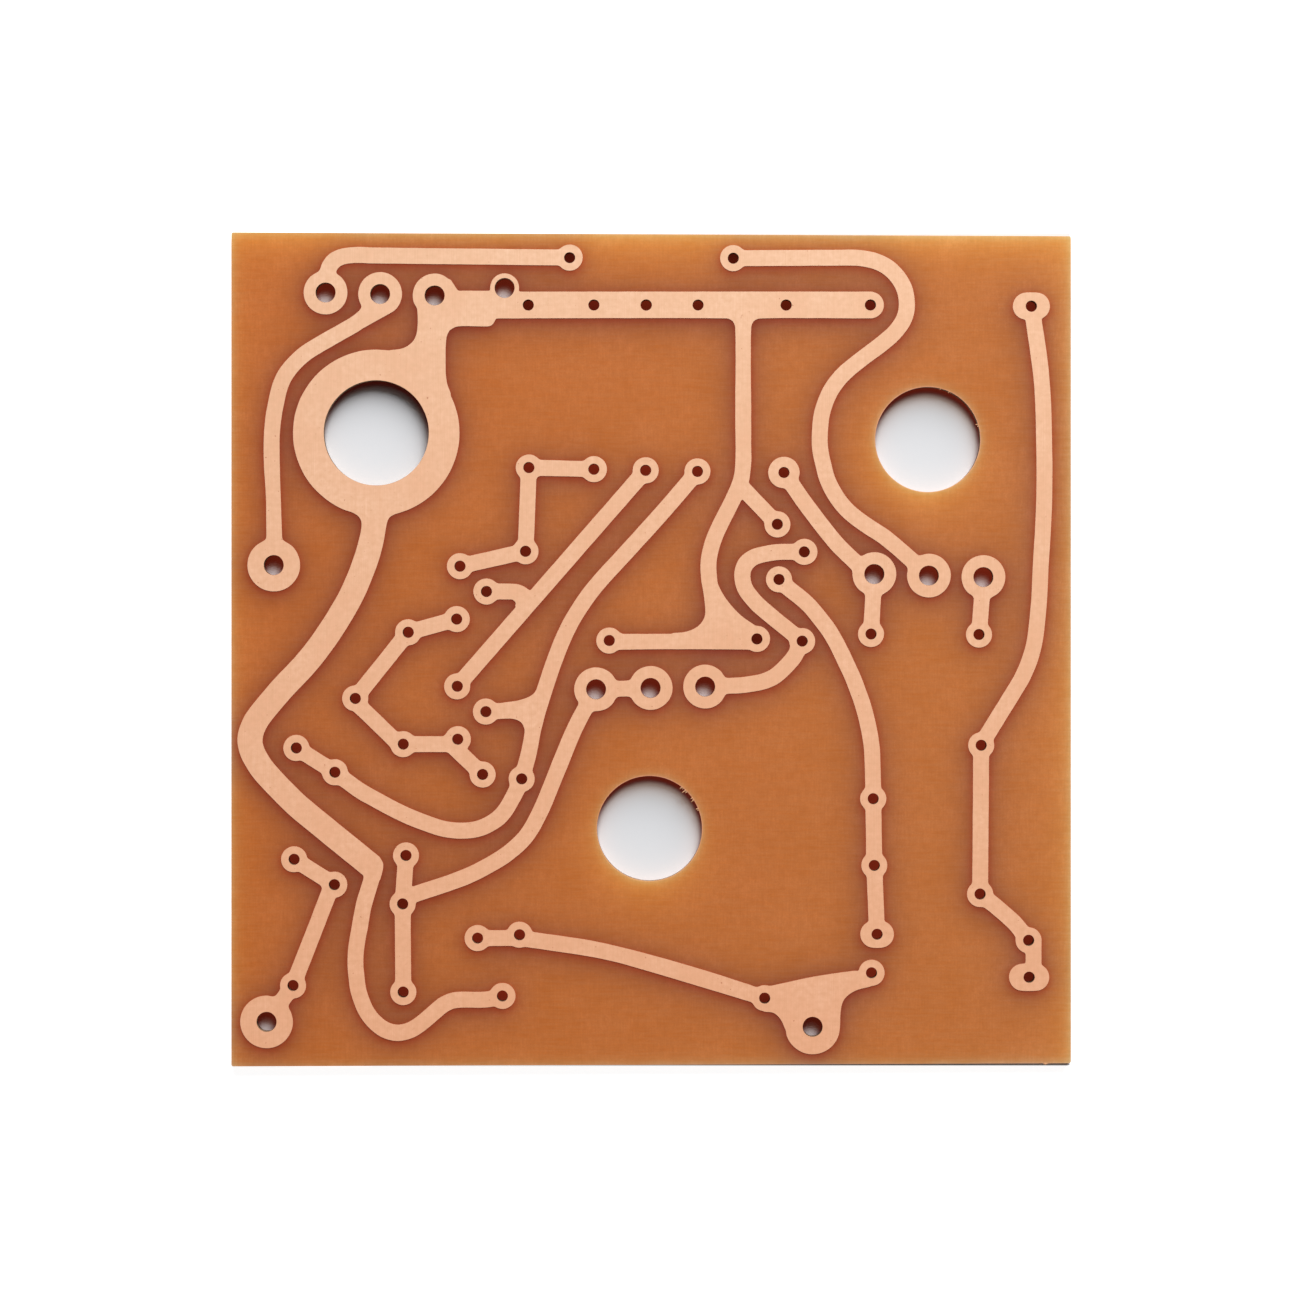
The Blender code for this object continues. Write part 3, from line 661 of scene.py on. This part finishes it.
# Elsewhere they lie in a grid: so many steps of so many mm either way, shifted a little. The
# rings and the grid stay within the board's outline, drawn in to this share of its size.
GRID_STEPS, GRID_STEP, GRID_SHIFT = 60, 0.7, 0.2 * MM
GRID_CLEARANCE = 0.35 * MM
GRID_HOLE_CLEARANCE = 0.3 * MM
NEAR_WITHIN, GRID_WITHIN = 0.997, 0.995

board_rim = split_up(board_outline, RIM_STEP)
rims = [board_rim] + [drawn_hole(*hole) for hole in drilled]
wide_rims = [board_rim] + [drawn_hole(*hole) for hole in drilled if hole[1] > POT_HOLE_LEAST]
rim_points = np.vstack(rims)
rim_of = np.concatenate([np.full(len(rim), index) for index, rim in enumerate(rims)])

near = [thinned(beside(loop, offset * MM, step * MM), RING_THINNING * step * MM)
        for offset, step in RINGS for loops in copper_outlines.values() for loop in loops]
near = thinned(np.vstack(near), NEAR_SPACING)
near = near[inside(near, board_outline * NEAR_WITHIN)]
lip_points = np.vstack([beside(rim, -LIP_WIDTH, LIP_STEP) for rim in wide_rims])
near = clear_of(near, np.vstack([rim_points, lip_points]), NEAR_CLEARANCE)
near = off_holes(np.vstack([lip_points, near] + [
    beside(rim, offset * MM, RIM_RING_STEP) for rim in wide_rims for offset in RIM_RINGS]),
    NEAR_HOLE_CLEARANCE)
steps = np.arange(-GRID_STEPS, GRID_STEPS + 1) * GRID_STEP * MM
grid = np.stack(np.meshgrid(steps, steps + GRID_SHIFT), -1).reshape(-1, 2)
grid = off_holes(grid[inside(grid, board_outline * GRID_WITHIN)], GRID_HOLE_CLEARANCE)
grid = clear_of(grid, np.vstack([near, rim_points]), GRID_CLEARANCE)
spots = np.vstack([rim_points, near, grid])

edges = []
for rim in rims:
    edges += closed_edges(len(edges), len(rim))

# How the triangles are asked for: all of them, with points this near in mm as one
ALL_TRIANGLES, JOINED_AT = 0, 1e-5


def flat_faces(points):
    """Triangles over the board, leaving its holes open."""
    places, _, faces, origin, _, _ = delaunay_2d_cdt(
        [Vector(point) for point in points / MM], edges, [], ALL_TRIANGLES, JOINED_AT)
    assert len(places) == len(points)
    faces = np.array([[origin[corner][0] for corner in face] for face in faces])
    on_rim = np.append(rim_of, np.full(len(points) - len(rim_of), -1))[faces]
    one_rim = (on_rim[:, 0] >= 0) & (on_rim == on_rim[:, :1]).all(1)
    centres = points[faces].mean(1)
    gone = np.zeros(len(faces), bool)
    for index, rim in enumerate(rims):
        asked = one_rim & (on_rim[:, 0] == index)
        within = inside(centres[asked], rim)
        gone[np.flatnonzero(asked)[within if index else ~within]] = True
    return faces[~gone]


# Share of the lip's wear on the sheared rim, and share of all the painted light and shade
# and the wear on the underside
SHEARED_LIP = 0.4
UNDERSIDE_SHARE = 0.3

top_faces = flat_faces(spots)
under_faces = flat_faces(rim_points)
count = len(spots)
points = np.vstack([np.column_stack([spots, np.full(count, FOIL_BOTTOM)]),
                    np.column_stack([rim_points, np.zeros(len(rim_points))])])
walls = [(b, a, count + a, count + b) for a, b in edges]
mesh = bpy.data.meshes.new("laminate_sheet")
mesh.from_pydata(points.tolist(), [],
                 top_faces.tolist() + (under_faces[:, ::-1] + count).tolist() + walls)
mesh.polygons.foreach_set("material_index",
                          [0] * (len(top_faces) + len(under_faces)) + [1] * len(board_rim)
                          + [2] * (len(walls) - len(board_rim)))
values = {name: sampled(cells, points[:, :2]) for name, cells in (
    ("light_kept_out", shade_map), ("beside_etched_edge", etch_painted_shade_map),
    ("light_let_in", glow_map), ("pale_fringe", pale_edge_light_map))}
order = np.arange(len(points))
values["worn_lip"] = np.where(order < len(board_rim), SHEARED_LIP, order < len(rim_points))
values["across_board"] = points[:, 0] / (cad_box[1].x - cad_box[0].x) + 0.5
for name, value in values.items():
    value[count:] *= UNDERSIDE_SHARE
    mesh.attributes.new(name, "FLOAT", "POINT").data.foreach_set("value", value)
sheet = link("laminate_sheet", mesh, laminate_material, sheared_material, drilled_material)
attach(sheet, "root")
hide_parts(LAMINATE)


# Torn fibres at the rims

# Each is a strand from a root to a tip: for a pot hole, degrees round it, length in mm and
# how far the tip swings sideways in mm; for the chip at the board's lower edge, its two ends.
LOWER_HOLE, RIGHT_HOLE = pot_holes[1], pot_holes[2]
TORN = [(LOWER_HOLE, 51.8, 0.24, 0.05), (LOWER_HOLE, 50.0, 0.14, -0.03),
        (LOWER_HOLE, 46.2, 0.40, 0.12), (LOWER_HOLE, 44.6, 0.20, 0.0),
        (LOWER_HOLE, 35.2, 0.18, 0.05), (LOWER_HOLE, 33.0, 0.32, -0.06),
        (LOWER_HOLE, 22.1, 0.26, 0.05), (LOWER_HOLE, 20.4, 0.15, 0.0),
        (RIGHT_HOLE, 76.0, 0.12, 0.03), (RIGHT_HOLE, 65.5, 0.16, 0.04),
        (RIGHT_HOLE, 63.8, 0.10, -0.02), (RIGHT_HOLE, 16.5, 0.24, 0.05),
        (RIGHT_HOLE, 14.6, 0.14, 0.0)]
CHIP = ((35.62, -37.60), (36.00, -37.63))

# Strands start inside the board, lie a little below the foil, and are flattened to this share
# of their width
ROOT_INSET = 0.03 * MM
ROOT_RADIUS = 0.1 * MM
TIP_SHARE = 0.25
WAVER = 0.02 * MM
FLATNESS = 0.4
SUNK = 0.01 * MM
STRAND_POINTS, STRAND_SIDES = 6, 7
STRAND_SEED = 3

# Torn kraft paper fibre: pale straw where the resin has broken away, dull and dry.
fibre_material = surface(
    "torn_kraft_paper_fibre", "#e3ae85", {"strands": (0.05, (1, 4, 1), 2.0, 0.3, 0.7)},
    [("strands", 0.8, "#b9835c")], Roughness=0.85, Metallic=0.0, Specular_IOR_Level=0.2)[0]


def strand_tree():
    """Turns edges into short flat strands that waver and taper from root to tip."""
    tree, given = new_tree("Torn strands", {
        "Roots and tips": "Geometry", "Root radius": "Float", "Tip share": "Float",
        "Waver": "Float", "Flatness": "Float", "Base height": "Float", "Seed": "Int",
        "Material": "Material"}, "Strands")
    line = add(tree, "GeometryNodeMeshToCurve", {"Mesh": given["Roots and tips"]})
    fine = add(tree, "GeometryNodeResampleCurve",
               {"Curve": line.outputs[0], "Count": STRAND_POINTS})
    shake = add(tree, "FunctionNodeRandomValue",
                {0: (-1, -1, 0), 1: (1, 1, 0), "Seed": given["Seed"]},
                data_type="FLOAT_VECTOR")
    along = add(tree, "GeometryNodeSplineParameter").outputs["Factor"]
    swing = add(tree, "ShaderNodeMath", {0: along, 1: given["Waver"]}, operation="MULTIPLY")
    offset = add(tree, "ShaderNodeVectorMath",
                 {0: shake.outputs[0], "Scale": swing.outputs[0]}, operation="SCALE")
    bent = add(tree, "GeometryNodeSetPosition",
               {"Geometry": fine.outputs[0], "Offset": offset.outputs[0]})
    thin = add(tree, "ShaderNodeMapRange", {0: along, 3: 1.0, 4: given["Tip share"]})
    ring = add(tree, "GeometryNodeCurvePrimitiveCircle",
               {"Resolution": STRAND_SIDES, "Radius": given["Root radius"]}, mode="RADIUS")
    tapered = add(tree, "GeometryNodeSetCurveRadius",
                  {"Curve": bent.outputs[0], "Radius": thin.outputs[0]})
    body = add(tree, "GeometryNodeCurveToMesh",
               {"Curve": tapered.outputs[0], "Profile Curve": ring.outputs[0],
                "Scale": thin.outputs[0], "Fill Caps": True})
    squash = add(tree, "ShaderNodeCombineXYZ", {"X": 1.0, "Y": 1.0, "Z": given["Flatness"]})
    lift = add(tree, "ShaderNodeCombineXYZ", {"Z": given["Base height"]})
    placed = add(tree, "GeometryNodeTransform",
                 {"Geometry": body.outputs[0], "Scale": squash.outputs[0],
                  "Translation": lift.outputs[0]})
    real = add(tree, "GeometryNodeRealizeInstances", {"Geometry": placed.outputs[0]})
    painted = add(tree, "GeometryNodeSetMaterial",
                  {"Geometry": real.outputs[0], "Material": given["Material"]})
    add(tree, "NodeGroupOutput", {"Strands": painted.outputs[0]})
    return tree


ends = []
for (centre, radius), degrees, length, swing in TORN:
    angle = math.radians(degrees)
    outward = np.array([math.cos(angle), math.sin(angle)])
    sideways = np.array([-outward[1], outward[0]])
    ends += [centre + outward * (radius + ROOT_INSET),
             centre + outward * (radius - length * MM) + sideways * swing * MM]
ends += [np.array(end) * MM for end in CHIP]
mesh = bpy.data.meshes.new("torn_fibres")
mesh.from_pydata([(x, y, 0.0) for x, y in ends],
                 [(place, place + 1) for place in range(0, len(ends), 2)], [])
fibres = link("torn_fibres", mesh)
grown(fibres, strand_tree(), root_radius=ROOT_RADIUS, tip_share=TIP_SHARE, waver=WAVER,
      flatness=FLATNESS, base_height=FOIL_BOTTOM - SUNK, seed=STRAND_SEED,
      material=fibre_material)
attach(fibres, "root")


# Table

# Painted light and shade on the paper, for light that has come down through the board. The
# board's painted shadow is dark red-brown and falls into each hole from the window's side. A
# painted red glow goes out from the rims and is lost in the wide holes, and a pale one lies
# further on, where the shade ends. The paper itself gives off both glows.
DARK_REACH = 0.4 * MM
DARK_LEAN = 0.62 * MM
DARK_RANGE = (0.27, 0.78)
BOARD_SHADOW_PAINT = "#6a190c"
RED_REACH = 1.6 * MM
RED_LOST_IN_WIDE_HOLES = 1.4
RED_LIGHT = (0.21, 0.02, 0.007)
PALE_REACH = 0.6 * MM
PALE_LEAN = 1.6 * MM
PALE_LIGHT = (0.22, 0.185, 0.155)
PALE_RANGE = (0.25, 0.66)

# The paper keeps the shadow in the holes, and shows the camera white outside the board's box
WHITE_LIGHT = (0.92, 0.92, 0.92)
WHITE_FROM, WHITE_FULL = -0.04 * MM, 0.1 * MM

# Its fine steps cover the board, and one long step goes to its edge, in metres
TABLE_STEP = 0.3 * MM
TABLE_STEPS = 130
TABLE_EDGE = 2.0
TABLE_HEIGHT = -2e-5

# Matt white paper: soft and bright, with hardly any gloss.
paper, tree, shader, shown = surface(
    "matt_white_paper", "#eaebee", {}, [], Roughness=0.9, Metallic=0.0)
drilled_map = filled([circle(*hole, DRILLED_MAP_SIDES) for hole in drilled])
solid_map = (1 - opened) * (1 - drilled_map)
bare_map = solid_map * (1 - covered)
painted_board_shadow_map = moved(spread_out(solid_map, fading(DARK_REACH)), DARK_LEAN)
red_map = spread_out(bare_map, lambda r, ahead: np.exp(-r / RED_REACH) * (1 + ahead))
red_map *= np.maximum(
    1 - RED_LOST_IN_WIDE_HOLES * spread_out(opened, fading(RED_REACH)), 0)
pale_map = moved(spread_out(bare_map, fading(PALE_REACH)), PALE_LEAN)
steps = np.arange(-TABLE_STEPS, TABLE_STEPS + 1) * TABLE_STEP
steps = np.concatenate([[-TABLE_EDGE], steps, [TABLE_EDGE]])
across, along = np.meshgrid(steps, steps, indexing="ij")
count = len(steps)
corner = (np.arange(count - 1)[:, None] * count + np.arange(count - 1)).ravel()
paper_points = np.stack([across.ravel(), along.ravel(), np.full(count * count, TABLE_HEIGHT)],
                        1)
mesh = bpy.data.meshes.new("table")
mesh.from_pydata(paper_points.tolist(), [], np.stack(
    [corner, corner + count, corner + count + 1, corner + 1], 1).tolist())
on_board = inside(paper_points[:, :2], board_outline)
amounts = {}
for name, cells in (("board_above", painted_board_shadow_map), ("light_through_board", red_map),
                    ("light_through_rim", pale_map)):
    value = np.where(on_board, np.minimum(sampled(cells, paper_points[:, :2]), 1.0), 0.0)
    mesh.attributes.new(name, "FLOAT", "POINT").data.foreach_set("value", value)
    amounts[name] = add(tree, "ShaderNodeAttribute", attribute_name=name).outputs["Fac"]
table = link("table", mesh, paper)

# Painted shadow of the board: the paper turns dark red-brown where the board is above it
dark = add(tree, "ShaderNodeMapRange",
           {0: amounts["board_above"], 1: DARK_RANGE[0], 2: DARK_RANGE[1]},
           interpolation_type="SMOOTHSTEP")
shown = add(tree, "ShaderNodeMix", {0: dark.outputs[0], 6: shown, 7: colour(BOARD_SHADOW_PAINT)},
            data_type="RGBA")
tree.links.new(shown.outputs[2], shader.inputs["Base Color"])

# How far a point is outside the board's box
place = add(tree, "ShaderNodeTexCoord").outputs["Object"]
middle = (cad_box[0] + cad_box[1]) / 2
half = (cad_box[1] - cad_box[0]) / 2
away = add(tree, "ShaderNodeVectorMath", {0: place, 1: (middle.x, middle.y, 0)},
           operation="SUBTRACT")
away = add(tree, "ShaderNodeVectorMath", {0: away.outputs[0]}, operation="ABSOLUTE")
away = add(tree, "ShaderNodeVectorMath", {0: away.outputs[0], 1: (half.x, half.y, 0)},
           operation="SUBTRACT")
away = add(tree, "ShaderNodeSeparateXYZ", {0: away.outputs[0]}).outputs
away = add(tree, "ShaderNodeMath", {0: away["X"], 1: away["Y"]}, operation="MAXIMUM")

outside = add(tree, "ShaderNodeMapRange", {0: away.outputs[0], 1: WHITE_FROM, 2: WHITE_FULL},
              interpolation_type="SMOOTHSTEP")
white = add(tree, "ShaderNodeMath", {0: seen(tree), 1: outside.outputs[0]},
            operation="MULTIPLY")
lit = add(tree, "ShaderNodeMapRange",
          {0: amounts["board_above"], 1: PALE_RANGE[0], 2: PALE_RANGE[1], 3: 1.0, 4: 0.0},
          interpolation_type="SMOOTHSTEP")
pale = add(tree, "ShaderNodeMath", {0: amounts["light_through_rim"], 1: lit.outputs[0]},
           operation="MULTIPLY")
# The paper gives off the painted red and pale glows, and shows the camera white outside the
# board's box
glow = add(tree, "ShaderNodeVectorMath",
           {0: RED_LIGHT, "Scale": amounts["light_through_board"]}, operation="SCALE")
for light, amount in ((PALE_LIGHT, pale), (WHITE_LIGHT, white)):
    part = add(tree, "ShaderNodeVectorMath", {0: light, "Scale": amount.outputs[0]},
               operation="SCALE")
    glow = add(tree, "ShaderNodeVectorMath", {0: glow.outputs[0], 1: part.outputs[0]})
tree.links.new(glow.outputs[0], shader.inputs["Emission Color"])
shader.inputs["Emission Strength"].default_value = 1.0


# Light and background

# The room gives the board a little light from all round, and shows the camera white
ROOM_LIGHT, ROOM_SEEN = 0.05, 1.0

# A tall soft window, from nearly overhead to low over the top edge, a little to the right, with
# its width and height in metres and its power in watts
WINDOW_SIZE = (0.55, 0.95)
WINDOW_POWER = 17.7

world = bpy.data.worlds.new("studio")
bpy.context.scene.world = world
world.use_nodes = True
tree = world.node_tree
strength = add(tree, "ShaderNodeMapRange", {0: seen(tree), 3: ROOM_LIGHT, 4: ROOM_SEEN})
tree.nodes["Background"].inputs["Color"].default_value = (1, 1, 1, 1)
tree.links.new(strength.outputs[0], tree.nodes["Background"].inputs["Strength"])

window = link("soft_window", bpy.data.lights.new("soft_window", "AREA"))
window.data.shape = "RECTANGLE"
window.data.size, window.data.size_y = WINDOW_SIZE
window.data.energy = WINDOW_POWER
window.location = WINDOW
window.rotation_euler = (-WINDOW).to_track_quat("-Z", "Y").to_euler()
